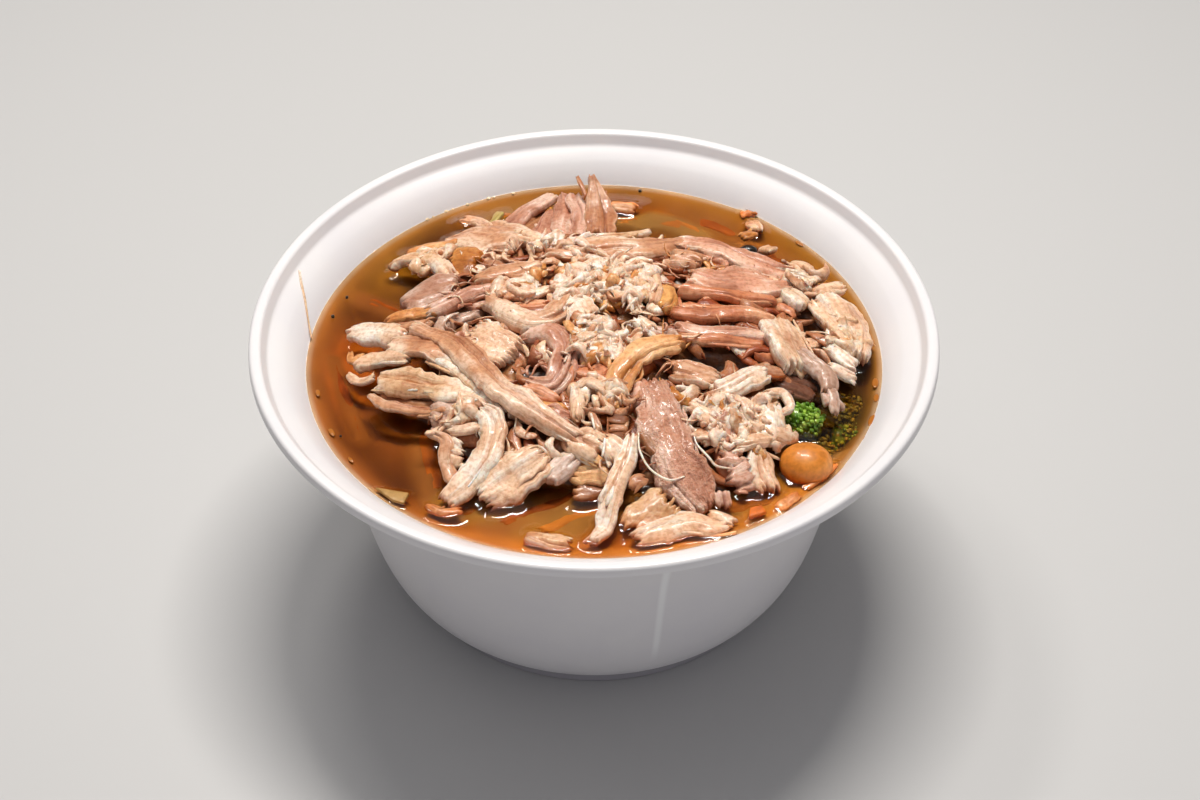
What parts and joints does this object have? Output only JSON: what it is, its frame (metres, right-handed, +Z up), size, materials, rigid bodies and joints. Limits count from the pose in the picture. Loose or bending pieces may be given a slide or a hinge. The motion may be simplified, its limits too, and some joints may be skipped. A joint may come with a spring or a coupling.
{
  "type": "chicken noodle soup",
  "caption": "Brown chicken soup with a heap of torn chicken, broccoli, a bean and root slices in a thin white plastic bowl with a wide lipped rim and a low foot.",
  "frame": {"origin": "middle of the round foot, on the surface that the bowl stands on", "axes": "+Z up; +X to the right and -Y towards the front, where the bean and the broccoli are at the right"},
  "size_m": [0.1856, 0.1856, 0.0892],
  "materials": {
    "bowl_plastic": "white injection-moulded polypropylene, satin to glossy",
    "chicken": "wet cooked chicken, fibrous, satin with glossy broth on it",
    "broccoli": "wet green buds",
    "bean": "soft wet skin",
    "pepper": "dark wet seed",
    "root": "wet pale yellow slice",
    "carrot": "wet orange slice",
    "broth": "clear brown broth with a mirror-smooth surface"
  },
  "bodies": {
    "root": {"bowl": "bowl_plastic", "chicken_heap": "chicken", "broccoli_floret": "broccoli", "round_bean": "bean", "pepper_seed": "pepper", "root_slice": "root", "carrot_bit": "carrot", "front_shred": "chicken", "wall_shred": "chicken", "back_flake": "chicken", "edge_flake": "chicken", "stray_fibre": "chicken", "broth": "broth"}
  },
  "joints": []
}
